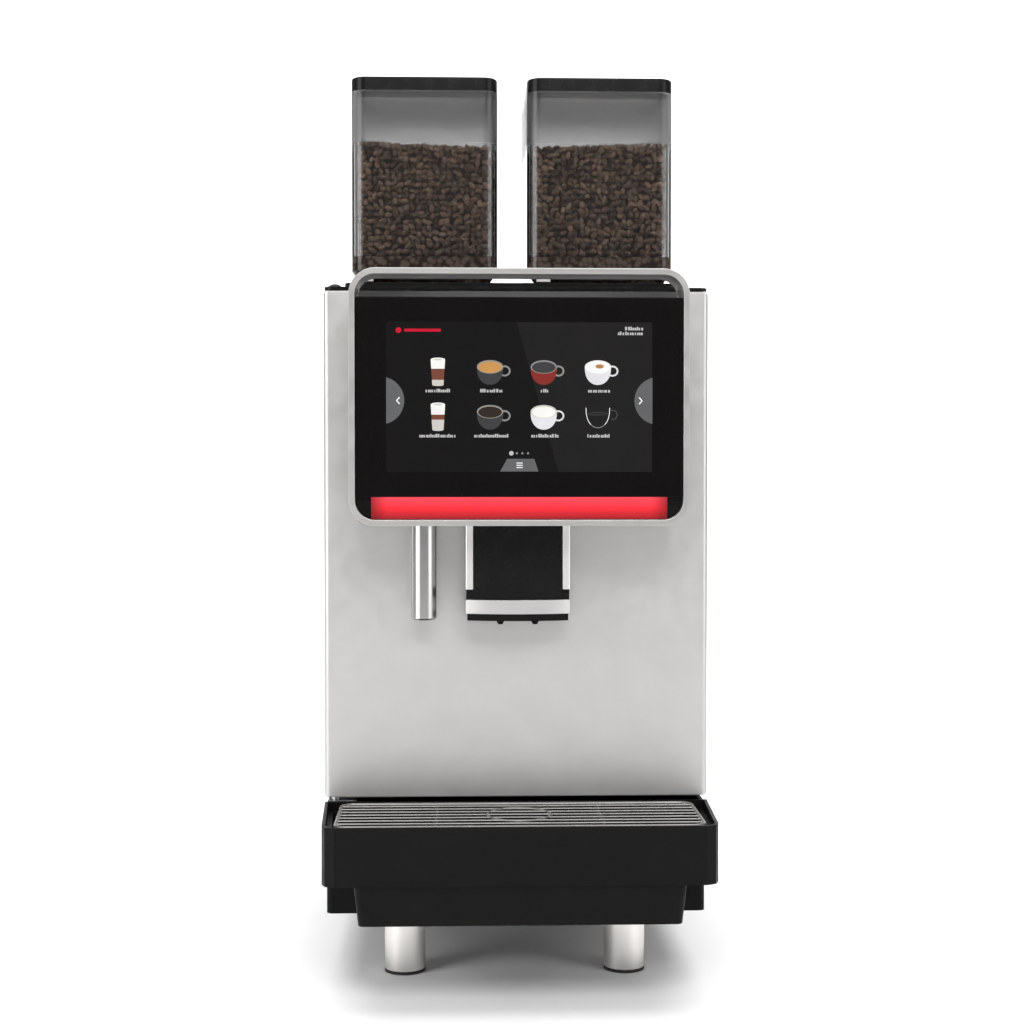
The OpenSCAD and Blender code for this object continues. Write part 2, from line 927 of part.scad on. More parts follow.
// Welded wire grid: a round-cornered border, cross bars and a cup ring.
module cup_grid() {
    wire = 1.8;
    bar_r = 1;
    front = tray_front + 8;
    rear = door_front - 7;
    mid = (front + rear) / 2;
    depth = rear - front;
    z = tray_top - wire;
    w = 306;
    corner = 10;
    pitch = depth / (grid_bars + 1);
    color("#c6c4c0") {
        for (side = [-1, 1]) {
            rod_x(mid + side * depth / 2, z, -w / 2 + corner, w / 2 - corner, wire);
            rod_y(side * w / 2, z, front + corner, rear - corner, wire);
            for (end = [0, 1])
                translate([side * (w / 2 - corner), end == 0 ? front + corner : rear - corner, z])
                    rotate([0, 0, corner_turn(side, end)])
                        bend(wire, corner);
            rod_y(side * 70, z - 1.6, front, rear, 1.5);
        }
        for (i = [1:grid_bars])
            rod_x(front + i * pitch, z + 0.6, -w / 2, w / 2, bar_r);
        translate([0, mid, z + 0.6])
            rotate_extrude()
                translate([27, 0]) circle(r = 1.2);
    }
}

function corner_turn(side, end) =
    side > 0 ? (end == 0 ? -90 : 0) : (end == 0 ? 180 : 90);

// ---------- hoppers ----------

// Clear hopper with a sloped floor, a round throat and a slot for the gate.
module hopper(side) {
    x = side * hopper_x;
    y0 = hopper_y - hopper_d / 2;
    y1 = hopper_y + hopper_d / 2;
    difference() {
        union() {
            slab(hopper_w, y0, y1, hopper_z + 12, hopper_top, hopper_r, x);
            hull() {
                slab(hopper_w, y0, y1, hopper_z + 11, hopper_z + 12, hopper_r, x, $fn = FACETS);
                slab(hopper_w - 16, y0 + 8, y1 - 8, hopper_z, hopper_z + 1, hopper_r - 4, x, $fn = FACETS);
            }
            rod(x, hopper_y, 606, hopper_z + 1, throat_r + 3);
        }
        hopper_inside(side, hopper_top + 1, 0);
        rod(x, hopper_y, 605, funnel_low + 2, throat_r);
        block([x - 31, x + 31], [y0 - 1, y1 - 5], [gate_z - 0.4, gate_z + gate_h + 0.4]);
    }
}

// Space that the beans can fill, shrunk by the given gap.
module hopper_inside(side, top, shrink) {
    x = side * hopper_x;
    y0 = hopper_y - hopper_d / 2 + hopper_wall + shrink;
    y1 = hopper_y + hopper_d / 2 - hopper_wall - shrink;
    inner_w = hopper_w - 2 * hopper_wall - 2 * shrink;
    slab(inner_w, y0, y1, funnel_top, top, hopper_r - hopper_wall, x);
    hull() {
        slab(inner_w, y0, y1, funnel_top - 1, funnel_top + 0.5, hopper_r - hopper_wall, x, $fn = FACETS);
        translate([x, hopper_y, funnel_low + shrink])
            cylinder(h = 1, r = throat_r - shrink, $fn = FACETS);
    }
}

module hopper_left() {
    color("#6b6b6b", 0.4) hopper(-1);
}

module hopper_right() {
    color("#6b6b6b", 0.4) hopper(1);
}

// Heap of coffee beans with a gently sloped top.
module beans(side) {
    slope = 2.2;
    color("#4a3b33")
    difference() {
        hopper_inside(side, bean_level + 6, 0.4);
        translate([side * hopper_x, hopper_y, bean_level])
            rotate([0, side * -slope, 0])
                translate([-100, -100, 0])
                    cube([200, 200, 30]);
    }
}

module beans_left() {
    beans(-1);
}

module beans_right() {
    beans(1);
}

// Lid with a rounded top edge, a locating lip and a finger recess.
module hopper_lid(side) {
    x = side * hopper_x;
    y0 = hopper_y - hopper_d / 2;
    y1 = hopper_y + hopper_d / 2;
    z = hopper_top + 0.3;
    top = hopper_top + 0.3 + lid_h;
    lip = hopper_wall + 0.4;
    difference() {
        union() {
            slab(hopper_w, y0, y1, z, top - 1.6, hopper_r, x);
            slab(hopper_w - 1, y0 + 0.5, y1 - 0.5, top - 2, top - 0.7, hopper_r - 0.5, x);
            slab(hopper_w - 3, y0 + 1.5, y1 - 1.5, top - 1, top, hopper_r - 1.5, x);
            slab(hopper_w - 2 * lip, y0 + lip, y1 - lip, z - 6, z + 1, hopper_r - lip, x);
        }
        slab(hopper_w - 16, y0 + 8, y1 - 8, z - 7, z + 6, 7, x);
        slab(50, hopper_y - 12, hopper_y + 12, top - 4, top + 1, 8, x);
    }
}

module lid_left() {
    color("#121212") hopper_lid(-1);
}

module lid_right() {
    color("#121212") hopper_lid(1);
}

// Flat bean gate with a round opening and a front finger tab.
module bean_gate(side) {
    x = side * hopper_x;
    y0 = hopper_y - hopper_d / 2;
    difference() {
        union() {
            block([x - 30, x + 30], [y0 - 5, hopper_y + 72], [gate_z, gate_z + gate_h]);
            block([x - 58, x - 29], [y0 - 5, y0 + 4], [gate_z, gate_z + gate_h]);
            slab(13, y0 - 9, y0 - 1, gate_z - 3, gate_z + 5, 2, x - 54);
        }
        rod(x, hopper_y, gate_z - 1, gate_z + gate_h + 1, throat_r);
    }
}

module gate_left() {
    color("#b4b2ae") bean_gate(-1);
}

module gate_right() {
    color("#b4b2ae") bean_gate(1);
}

// ---------- assembly ----------

base_body();
chassis_frame();
left_side_panel();
right_side_panel();
rear_panel();
top_cover();
hopper_deck();
leg_tubes();
leg_pads();
lower_hinge_bracket();
upper_hinge_pin();
boiler();
water_pump();
flow_meter();
valve_block();
water_lines();
brew_frame();
brew_chamber();
brew_motor();
grinder_housings();
grinder_motors();
grounds_chute();
grounds_bin();
power_supply();
main_board();
fan_housing();
fan_rotor();
mains_inlet();
power_rocker();
water_inlet();
rear_screws();
door_panel();
door_liner();
door_bushes();
display_frame();
display_glass();
display_module();
display_housing();
display_back();
light_bar();
hot_water_tube();
spout_guide();
spout_cover();
spout_trim();
spout_band();
nozzle_block();
drip_tray();
cup_grid();
hopper_left();
hopper_right();
beans_left();
beans_right();
lid_left();
lid_right();
gate_left();
gate_right();
brew_piston();
brew_spindle();
burr_left();
burr_right();
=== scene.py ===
"""Looks of the countertop coffee machine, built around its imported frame.

Metres, +X right, +Y back, +Z up.
"""

import json
import math
import random

import bpy
from mathutils import Euler, Matrix, Vector


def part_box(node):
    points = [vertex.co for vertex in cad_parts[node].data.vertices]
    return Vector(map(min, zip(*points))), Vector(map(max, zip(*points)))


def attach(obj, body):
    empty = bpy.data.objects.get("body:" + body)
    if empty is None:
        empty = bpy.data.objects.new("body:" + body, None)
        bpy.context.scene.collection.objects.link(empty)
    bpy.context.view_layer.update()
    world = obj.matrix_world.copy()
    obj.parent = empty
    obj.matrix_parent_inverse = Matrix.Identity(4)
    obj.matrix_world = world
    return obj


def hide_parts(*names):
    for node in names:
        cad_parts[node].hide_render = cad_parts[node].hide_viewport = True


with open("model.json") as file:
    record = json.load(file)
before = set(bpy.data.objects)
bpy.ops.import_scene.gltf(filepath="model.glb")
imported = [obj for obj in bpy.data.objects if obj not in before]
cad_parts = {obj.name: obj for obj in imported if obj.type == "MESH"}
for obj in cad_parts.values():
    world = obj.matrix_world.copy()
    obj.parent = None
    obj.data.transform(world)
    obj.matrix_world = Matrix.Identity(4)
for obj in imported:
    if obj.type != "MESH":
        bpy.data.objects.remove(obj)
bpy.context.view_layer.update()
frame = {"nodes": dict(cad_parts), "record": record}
nodes = frame["nodes"]
MM = 0.001
NO_STRETCH = (1.0, 1.0, 1.0)
NOISE_MIDDLE = (0.3, 0.7)
SHADE_MIDDLE = (0.32, 0.68)
BEAN_LENGTH = 7.8 * MM
BEAN_WIDTH = 5.4 * MM
BEAN_HEIGHT = 4.0 * MM
FUNNEL_RISE = 15 * MM


# ---------- materials ----------

def node_tools(name):
    """A new node material with its tree, its main shader and a coordinate output in metres."""
    material = bpy.data.materials.new(name)
    material.use_nodes = True
    tree = material.node_tree
    shader = tree.nodes["Principled BSDF"]
    place = tree.nodes.new("ShaderNodeTexCoord").outputs["Object"]
    return material, tree, shader, place


def noise(tree, place, size, detail=3.0, stretch=NO_STRETCH):
    """Noise whose features are about size metres, longer along an axis whose stretch is over 1."""
    mapping = tree.nodes.new("ShaderNodeMapping")
    mapping.inputs["Scale"].default_value = [1.0 / s for s in stretch]
    texture = tree.nodes.new("ShaderNodeTexNoise")
    texture.inputs["Scale"].default_value = 1.0 / size
    texture.inputs["Detail"].default_value = detail
    tree.links.new(place, mapping.inputs["Vector"])
    tree.links.new(mapping.outputs["Vector"], texture.inputs["Vector"])
    return texture.outputs["Fac"]


def span(tree, value, start, end, low=0.0, high=1.0):
    """Value as a share of start..end, moved to low..high and held there beyond the ends."""
    node = tree.nodes.new("ShaderNodeMapRange")
    node.inputs["From Min"].default_value = start
    node.inputs["From Max"].default_value = end
    node.inputs["To Min"].default_value = low
    node.inputs["To Max"].default_value = high
    tree.links.new(value, node.inputs["Value"])
    return node.outputs["Result"]


def remap(tree, value, low, high):
    """Value from the middle range of a noise, moved to low..high."""
    return span(tree, value, *NOISE_MIDDLE, low, high)


def shade_between(tree, value, dark, light):
    """Colour that runs from dark to light over a noise's middle range."""
    ramp = tree.nodes.new("ShaderNodeValToRGB")
    for i, (position, colour) in enumerate(zip(SHADE_MIDDLE, (dark, light))):
        ramp.color_ramp.elements[i].position = position
        ramp.color_ramp.elements[i].color = (*colour, 1.0)
    tree.links.new(value, ramp.inputs["Fac"])
    return ramp.outputs["Color"]


def surface(name, colour, rough, metallic=0.0, vary=0.08, patch=0.04, grain=0.0012,
            bump=0.08, stretch=NO_STRETCH, edge=0.5 * MM, rough_vary=0.05, **sockets):
    """A worked surface: patchy colour, uneven gloss, fine grain and softened edges."""
    gloss_patch = patch * 0.4
    grain_depth = 0.1 * MM
    material, tree, shader, place = node_tools(name)
    links = tree.links
    broad = noise(tree, place, patch)
    fine = noise(tree, place, grain, 4.0, stretch)
    dark = [c * (1.0 - vary) for c in colour]
    light = [min(1.0, c * (1.0 + vary)) for c in colour]
    links.new(shade_between(tree, broad, dark, light), shader.inputs["Base Color"])
    gloss = noise(tree, place, gloss_patch, 5.0, stretch)
    links.new(remap(tree, gloss, max(0.0, rough - rough_vary), rough + rough_vary),
              shader.inputs["Roughness"])
    relief = tree.nodes.new("ShaderNodeBump")
    relief.inputs["Strength"].default_value = bump
    relief.inputs["Distance"].default_value = grain_depth
    links.new(fine, relief.inputs["Height"])
    if edge:
        soft = tree.nodes.new("ShaderNodeBevel")
        soft.samples = 4
        soft.inputs["Radius"].default_value = edge
        links.new(soft.outputs["Normal"], relief.inputs["Normal"])
    links.new(relief.outputs["Normal"], shader.inputs["Normal"])
    shader.inputs["Metallic"].default_value = metallic
    for socket, value in sockets.items():
        shader.inputs[socket.replace("_", " ")].default_value = value
    return material


def blend(tree, share, plain, colour):
    """A linked colour that gives way to a fixed one as share goes from 0 to 1."""
    mix = tree.nodes.new("ShaderNodeMix")
    mix.data_type = "RGBA"
    first, second = [socket for socket in mix.inputs if socket.type == "RGBA"]
    second.default_value = (*colour, 1.0)
    tree.links.new(share, mix.inputs["Factor"])
    tree.links.new(plain, first)
    return [socket for socket in mix.outputs if socket.type == "RGBA"][0]


def light_surface(name, middle, strength):
    """A lit red diffuser, brightest along its upper half and dim at its lower edge and its ends."""
    lower_edge = (0.22, 0.010, 0.014, 1.0)
    upper_edge = (1.0, 0.075, 0.11, 1.0)
    body_steps = ((0.3, 0.62), (0.5, 1.0))
    fade_length = 14 * MM
    end_strength = strength * 0.25
    material, tree, shader, place = node_tools(name)
    low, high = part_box("light_bar")
    split = tree.nodes.new("ShaderNodeSeparateXYZ")
    tree.links.new(place, split.inputs["Vector"])
    ramp = tree.nodes.new("ShaderNodeValToRGB")
    ramp.color_ramp.elements[0].color = lower_edge
    ramp.color_ramp.elements[1].color = upper_edge
    for position, share in body_steps:
        body = ramp.color_ramp.elements.new(position)
        body.color = (*[c * share for c in middle], 1.0)
    tree.links.new(span(tree, split.outputs["Z"], low.z, high.z), ramp.inputs["Fac"])
    across = tree.nodes.new("ShaderNodeMath")
    across.operation = "ABSOLUTE"
    tree.links.new(split.outputs["X"], across.inputs[0])
    ends = across.outputs["Value"]
    fade = span(tree, ends, high.x - fade_length, high.x, strength, end_strength)
    tree.links.new(ramp.outputs["Color"], shader.inputs["Emission Color"])
    tree.links.new(fade, shader.inputs["Emission Strength"])
    shader.inputs["Base Color"].default_value = (0.10, 0.006, 0.008, 1.0)
    shader.inputs["Roughness"].default_value = 0.4
    shader.inputs["Specular IOR Level"].default_value = 0.1
    return material


def painted_underside_surface(name, underside_paint, height, facts):
    """A surface whose faces that look down from above a height take a painted colour: painted shade on
    the display frame's upper bars, painted light on the hopper lids.
    """
    facing_down = (-0.3, -0.8)
    change = 5 * MM
    material = surface(name, **facts)
    tree = material.node_tree
    base = tree.nodes["Principled BSDF"].inputs["Base Color"]
    plain = base.links[0].from_socket
    facing = tree.nodes.new("ShaderNodeSeparateXYZ")
    normal = tree.nodes.new("ShaderNodeNewGeometry").outputs["True Normal"]
    tree.links.new(normal, facing.inputs["Vector"])
    spot = tree.nodes.new("ShaderNodeSeparateXYZ")
    place = tree.nodes.new("ShaderNodeTexCoord").outputs["Object"]
    tree.links.new(place, spot.inputs["Vector"])
    share = tree.nodes.new("ShaderNodeMath")
    share.operation = "MULTIPLY"
    tree.links.new(span(tree, facing.outputs["Z"], *facing_down), share.inputs[0])
    tree.links.new(span(tree, spot.outputs["Z"], height, height + change), share.inputs[1])
    # Blends the painted colour over the downward faces: painted shade under the display frame's top
    # bar, painted light under the hopper lids.
    tree.links.new(blend(tree, share.outputs["Value"], plain, underside_paint), base)
    return material


def bean_stain(tree, place, dark, light):
    """Blotches the size of beans, as beans look through a thick cloudy floor."""
    cells = tree.nodes.new("ShaderNodeTexVoronoi")
    cells.inputs["Scale"].default_value = 1.0 / BEAN_WIDTH
    tree.links.new(place, cells.inputs["Vector"])
    return shade_between(tree, cells.outputs["Distance"], light, dark)


def clear_surface(name, tint, dusty):
    """Smoked clear plastic: dull with coffee dust above the beans, stained and cloudy at its floor."""
    material, tree, shader, place = node_tools(name)
    beans_low, beans_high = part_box("beans_left")
    change = 0.5 * MM
    floor_top = beans_low.z + FUNNEL_RISE
    clear_from = floor_top + change
    dust_low = beans_high.z - 14 * MM
    dust_high = beans_high.z - 2 * MM
    split = tree.nodes.new("ShaderNodeSeparateXYZ")
    tree.links.new(place, split.inputs["Vector"])
    height = split.outputs["Z"]
    shader.inputs["IOR"].default_value = 1.45
    shader.inputs["Specular IOR Level"].default_value = 0.35
    tree.links.new(span(tree, height, floor_top, clear_from), shader.inputs["Transmission Weight"])
    stain = bean_stain(tree, place, (0.014, 0.010, 0.008), (0.056, 0.041, 0.033))
    mixed = blend(tree, span(tree, height, clear_from, clear_from + change), stain, tint)
    tree.links.new(mixed, shader.inputs["Base Color"])
    dull = span(tree, height, dust_low, dust_high, 0.0, dusty)
    swirl = remap(tree, noise(tree, place, 0.03, 2.0), 0.0, 0.01)
    total = tree.nodes.new("ShaderNodeMath")
    tree.links.new(dull, total.inputs[0])
    tree.links.new(swirl, total.inputs[1])
    tree.links.new(total.outputs["Value"], shader.inputs["Roughness"])
    return material


def bean_surface(name):
    """Roasted beans: each bean its own brown, a little oily, with a fine skin."""
    darkest = (0.150, 0.092, 0.062, 1.0)
    lightest = (0.72, 0.460, 0.315, 1.0)
    skin_size = 0.8 * MM
    skin_depth = 0.2 * MM
    material, tree, shader, place = node_tools(name)
    own = tree.nodes.new("ShaderNodeNewGeometry").outputs["Random Per Island"]
    ramp = tree.nodes.new("ShaderNodeValToRGB")
    ramp.color_ramp.elements[0].color = darkest
    ramp.color_ramp.elements[1].color = lightest
    tree.links.new(own, ramp.inputs["Fac"])
    tree.links.new(ramp.outputs["Color"], shader.inputs["Base Color"])
    skin = noise(tree, place, skin_size, 4.0)
    tree.links.new(remap(tree, skin, 0.2, 0.36), shader.inputs["Roughness"])
    shader.inputs["Specular IOR Level"].default_value = 1.0
    shader.inputs["Specular Tint"].default_value = (1.0, 0.93, 0.88, 1.0)
    relief = tree.nodes.new("ShaderNodeBump")
    relief.inputs["Strength"].default_value = 0.25
    relief.inputs["Distance"].default_value = skin_depth
    tree.links.new(skin, relief.inputs["Height"])
    tree.links.new(relief.outputs["Normal"], shader.inputs["Normal"])
    return material


def screen_surface(name, colour):
    """A lit area of the screen, with a faint unevenness of the backlight."""
    glow = 0.85
    material, tree, shader, place = node_tools(name)
    uneven = noise(tree, place, 0.02, 2.0)
    dark = [c * 0.94 for c in colour]
    light = [min(1.0, c * 1.06) for c in colour]
    shade = shade_between(tree, uneven, dark, light)
    tree.links.new(shade, shader.inputs["Emission Color"])
    shader.inputs["Base Color"].default_value = (*[c * 0.25 for c in colour], 1.0)
    shader.inputs["Emission Strength"].default_value = glow
    shader.inputs["Roughness"].default_value = 0.3
    shader.inputs["Specular IOR Level"].default_value = 0.06
    return material


LONG_X = (30.0, 1.0, 1.0)
LONG_Z = (1.0, 1.0, 30.0)
BLACK_FACTS = dict(colour=(0.005, 0.005, 0.0052), rough=0.26, bump=0.02, Specular_IOR_Level=0.14)
FRAME_FACTS = dict(colour=(0.50, 0.487, 0.475), rough=0.34, metallic=0.85, vary=0.02, stretch=LONG_X,
                   edge=1.0 * MM)
SLOT_SURFACES = {
    "moulded_black": dict(colour=(0.0040, 0.0037, 0.0036), rough=0.5, grain=0.0009, bump=0.06,
                          Specular_IOR_Level=0.09),
    "frame_steel": dict(colour=(0.50, 0.51, 0.52), rough=0.38, metallic=1.0, patch=0.012),
    "side_paint": dict(colour=(0.025, 0.025, 0.026), rough=0.45, grain=0.0006, bump=0.15),
    "rear_paint": dict(colour=(0.035, 0.035, 0.037), rough=0.48, grain=0.0006, bump=0.15),
    "door_silver": dict(colour=(0.49, 0.485, 0.48), rough=0.4, metallic=0.75, vary=0.025,
                        grain=0.0004, bump=0.03, edge=1.5 * MM),
    "leg_steel": dict(colour=(0.78, 0.76, 0.74), rough=0.34, metallic=1.0, vary=0.015, bump=0.02,
                      rough_vary=0.015),
    "pad_rubber": dict(colour=(0.012, 0.012, 0.012), rough=0.7),
    "boiler_steel": dict(colour=(0.62, 0.60, 0.57), rough=0.32, metallic=1.0, stretch=(1.0, 1.0, 0.1)),
    "pump_body": dict(colour=(0.16, 0.18, 0.19), rough=0.5, grain=0.0015, bump=0.3),
    "brass": dict(colour=(0.70, 0.50, 0.20), rough=0.3, metallic=1.0),
    "hose_plastic": dict(colour=(0.74, 0.72, 0.65), rough=0.35),
    "dark_plastic": dict(colour=(0.022, 0.023, 0.025), rough=0.45, bump=0.15),
    "pale_plastic": dict(colour=(0.70, 0.68, 0.61), rough=0.4),
    "motor_grey": dict(colour=(0.22, 0.23, 0.24), rough=0.35, metallic=0.6),
    "supply_case": dict(colour=(0.56, 0.57, 0.58), rough=0.35, metallic=1.0, stretch=LONG_X),
    "board_green": dict(colour=(0.012, 0.11, 0.05), rough=0.35, grain=0.002, bump=0.2),
    "screw_steel": dict(colour=(0.55, 0.55, 0.56), rough=0.28, metallic=1.0),
    "display_grey": dict(colour=(0.36, 0.36, 0.36), rough=0.45, metallic=0.3, vary=0.03),
    "screen_glass": dict(colour=(0.0035, 0.003, 0.0032), rough=0.08, bump=0.0, edge=1.0 * MM,
                         rough_vary=0.02, Specular_IOR_Level=0.12),
    "polished_steel": dict(colour=(0.44, 0.435, 0.43), rough=0.24, metallic=1.0, vary=0.015,
                           rough_vary=0.02, bump=0.02),
    "trim_chrome": dict(colour=(0.76, 0.75, 0.74), rough=0.36, metallic=1.0, vary=0.015, bump=0.03,
                        rough_vary=0.02, stretch=LONG_Z),
    "satin_band": dict(colour=(0.53, 0.52, 0.515), rough=0.4, metallic=1.0, vary=0.015, bump=0.03,
                       rough_vary=0.02, stretch=LONG_X),
    "gate_grey": dict(colour=(0.50, 0.49, 0.47), rough=0.4),
    "burr_steel": dict(colour=(0.45, 0.46, 0.47), rough=0.3, metallic=1.0),
    "switch_red": dict(colour=(0.36, 0.012, 0.012), rough=0.25),
    "grid_steel": dict(colour=(0.22, 0.215, 0.21), rough=0.42, metallic=1.0, edge=0.0, bump=0.0),
}


def slot_materials():
    """One material for each slot of the record."""
    made = {slot: surface(slot, **facts) for slot, facts in SLOT_SURFACES.items()}
    # Painted shade: the downward faces of the display frame above the screen's middle go black, in
    # place of the shade and dark reflection under its top bar.
    painted_shade_black = (0.010, 0.010, 0.010)
    # Painted light: the downward faces of the black hopper lids go pale, so the empty top of each
    # hopper looks lit through the smoked plastic.
    painted_light_pale = (0.80, 0.79, 0.78)
    made["light_red"] = light_surface("light_red", middle=(0.95, 0.025, 0.04), strength=1.0)
    screen_middle = (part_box("display_frame")[0].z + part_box("display_frame")[1].z) / 2
    under_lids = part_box("lid_left")[0].z - 5 * MM
    made["frame_aluminium"] = painted_underside_surface("frame_aluminium", painted_shade_black, screen_middle,
                                            FRAME_FACTS)
    made["gloss_black"] = painted_underside_surface("gloss_black", painted_light_pale, under_lids, BLACK_FACTS)
    made["hopper_clear"] = clear_surface("hopper_clear", tint=(0.42, 0.42, 0.42), dusty=0.34)
    made["coffee_beans"] = bean_surface("coffee_beans")
    return made


# Nodes whose finish differs from the one of their slot.
NODE_SURFACES = {"spout_band": "satin_band"}


def dress_nodes(made):
    """Gives every CAD node the material of its slot, or its own where its finish differs."""
    for part in frame["record"]["subparts"]:
        mesh = nodes[part["node"]].data
        mesh.materials.clear()
        mesh.materials.append(made[NODE_SURFACES.get(part["node"], part["material_slot"])])


# ---------- pieces ----------

def add_piece(name, mesh, body):
    """Links a mesh as a piece that rides on a body."""
    piece = bpy.data.objects.new(name, mesh)
    bpy.context.scene.collection.objects.link(piece)
    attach(piece, body)
    return piece


# ---------- coffee beans ----------

def bean_shape():
    """Points and faces of one bean: an oval with a flat side and a groove along it."""
    rings = 5
    spokes = 7
    dome = 0.62
    flat_side = 0.42
    groove_depth = 0.8 * MM
    groove_width = 0.9 * MM
    points = [Vector((-BEAN_LENGTH / 2, 0.0, 0.0))]
    for i in range(1, rings):
        along = math.pi * i / rings
        for k in range(spokes):
            turn = 2 * math.pi * k / spokes
            y = math.sin(along) * math.cos(turn) * BEAN_WIDTH / 2
            z = math.sin(along) * math.sin(turn) * BEAN_HEIGHT * dome
            if z < 0:
                z *= flat_side
                z += groove_depth * math.exp(-(y / groove_width) ** 2) * math.sin(along)
            points.append(Vector((-math.cos(along) * BEAN_LENGTH / 2, y, z)))
    points.append(Vector((BEAN_LENGTH / 2, 0.0, 0.0)))
    last = len(points) - 1
    faces = []
    for k in range(spokes):
        after = (k + 1) % spokes
        faces.append((0, 1 + after, 1 + k))
        start = 1 + (rings - 2) * spokes
        faces.append((last, start + k, start + after))
        for i in range(rings - 2):
            a = 1 + i * spokes
            faces.append((a + k, a + after, a + spokes + after, a + spokes + k))
    return points, faces


def bean_places(low, high, rng):
    """Centres and turns of the beans against each wall and over the top of the heap."""
    margin = 4.0 * MM
    step = 5.7 * MM
    scatter = 1.7
    # How deep each layer lies, how far it is shifted, and how much wider its beans are spaced.
    wall_layers = ((0.0, 0.0, 1.0), (3.2 * MM, 0.5 * step, 1.6))
    top_layers = ((0.0, 1.0), (3.5 * MM, 1.6))
    places = []

    def spread(start, end, wider):
        count = max(1, int((end - start) / (step * wider)))
        return [start + (end - start) * (i + 0.5) / count for i in range(count)]

    def jitter():
        return rng.uniform(-scatter, scatter) * MM

    for depth, shift, wider in wall_layers:
        inset = margin + depth
        for z in spread(low.z + 2 * MM, high.z - 2 * MM, wider):
            row = z + shift * 0.5
            for x in spread(low.x + margin, high.x - margin, wider):
                for y, turn in ((low.y + inset, 0.0), (high.y - inset, math.pi)):
                    centre = Vector((x + jitter() + shift, y, row + jitter()))
                    places.append((centre, (math.pi / 2, 0.0, turn)))
            for y in spread(low.y + margin, high.y - margin, wider):
                for x, turn in ((low.x + inset, -math.pi / 2), (high.x - inset, math.pi / 2)):
                    centre = Vector((x, y + jitter() + shift, row + jitter()))
                    places.append((centre, (math.pi / 2, 0.0, turn)))
    for drop, wider in top_layers:
        top = high.z - 3 * MM - drop
        for x in spread(low.x + margin, high.x - margin, wider):
            for y in spread(low.y + margin, high.y - margin, wider):
                centre = Vector((x + jitter(), y + jitter(), top + jitter() * 0.6))
                places.append((centre, (0.0, 0.0, 0.0)))
    return places


def bean_heap(name, node, hopper, slope, seed, material):
    """Beans against the hopper walls and over the top, round a dark core of packed beans."""
    throat, widening = 0.34, 0.66
    floor_gap = 4 * MM
    wall_gap = 0.2 * MM
    top_sink = 4.0 * MM
    lean, roll = 0.45, 0.4
    flipped = 0.45
    rng = random.Random(seed)
    low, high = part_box(node)
    wall_low, wall_high = low.copy(), high.copy()
    neck = low.z + FUNNEL_RISE
    middle = (low + high) / 2
    shape, shape_faces = bean_shape()
    points, faces = [], []

    def surface_drop(x):
        return (x - middle.x) * math.tan(slope)

    wall_low.z = low.z + floor_gap
    for centre, turn in bean_places(wall_low, wall_high, rng):
        level = (centre.z - wall_low.z) / (high.z - wall_low.z)
        centre.z += surface_drop(centre.x) * level - top_sink * level
        narrow = min(1.0, throat + widening * (centre.z - low.z) / (neck - low.z))
        centre.x = middle.x + (centre.x - middle.x) * narrow
        centre.y = middle.y + (centre.y - middle.y) * narrow
        tilt = Euler((turn[0] + rng.gauss(0, lean), rng.gauss(0, roll), turn[2]))
        spin = Euler((0.0, 0.0, rng.uniform(0, 2 * math.pi)))
        flip = Euler((math.pi if rng.random() < flipped else 0.0, 0.0, 0.0))
        size = rng.uniform(0.88, 1.1)
        move = Matrix.Translation(centre) @ tilt.to_matrix().to_4x4()
        move = move @ spin.to_matrix().to_4x4() @ flip.to_matrix().to_4x4()
        start = len(points)
        for p in shape:
            q = move @ (p * size)
            q.x = min(max(q.x, low.x + wall_gap), high.x - wall_gap)
            q.y = min(max(q.y, low.y + wall_gap), high.y - wall_gap)
            q.z = min(q.z, high.z)
            points.append(q)
        faces += [[start + i for i in face] for face in shape_faces]
    core_points, core_faces = heap_core(low, high, neck, middle, slope)
    start = len(points)
    points += core_points
    faces += [[start + i for i in face] for face in core_faces]
    mesh = bpy.data.meshes.new(name)
    mesh.from_pydata(points, [], faces)
    mesh.polygons.foreach_set("use_smooth", [True] * len(mesh.polygons))
    mesh.materials.append(material)
    piece = add_piece(name, mesh, hopper)
    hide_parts(node)


def heap_core(low, high, neck, middle, slope):
    """A closed funnel-shaped block inside the heap, hidden behind its outer beans."""
    inset = 7 * MM
    half_x = (high.x - low.x) / 2 - inset
    half_y = (high.y - low.y) / 2 - inset
    top = high.z - 12 * MM
    levels = ((low.z + 2 * MM, 0.25), (neck + 4 * MM, 0.97), (top, 1.0))
    points = []
    for z, share in levels:
        for sx, sy in ((-1, -1), (1, -1), (1, 1), (-1, 1)):
            x = middle.x + sx * half_x * share
            rise = (x - middle.x) * math.tan(slope) if z == top else 0.0
            points.append(Vector((x, middle.y + sy * half_y * share, z + rise)))
    faces = [(3, 2, 1, 0), (8, 9, 10, 11)]
    for level in (0, 4):
        for k in range(4):
            after = (k + 1) % 4
            faces.append((level + k, level + after, level + after + 4, level + k + 4))
    return points, faces


# ---------- screen picture ----------
# Its sizes are in millimetres, across and up from the middle of the display glass.

HALF_W, HALF_H = 111.3, 62.7
COLUMNS = (-68.2, -23.7, 21.2, 66.5)
ROWS = (20.6, -16.8)
LABEL_ROWS = (5.2, -32.4)
LABEL_WIDTHS = ((20.5, 18.5, 7.0, 18.5), (31.0, 28.5, 23.0, 19.5))
PAGE_Z = -3.0
RELIEF_BACK = 0.02
RELIEF_FRONT = 0.06
LAYER_STEP = 0.02


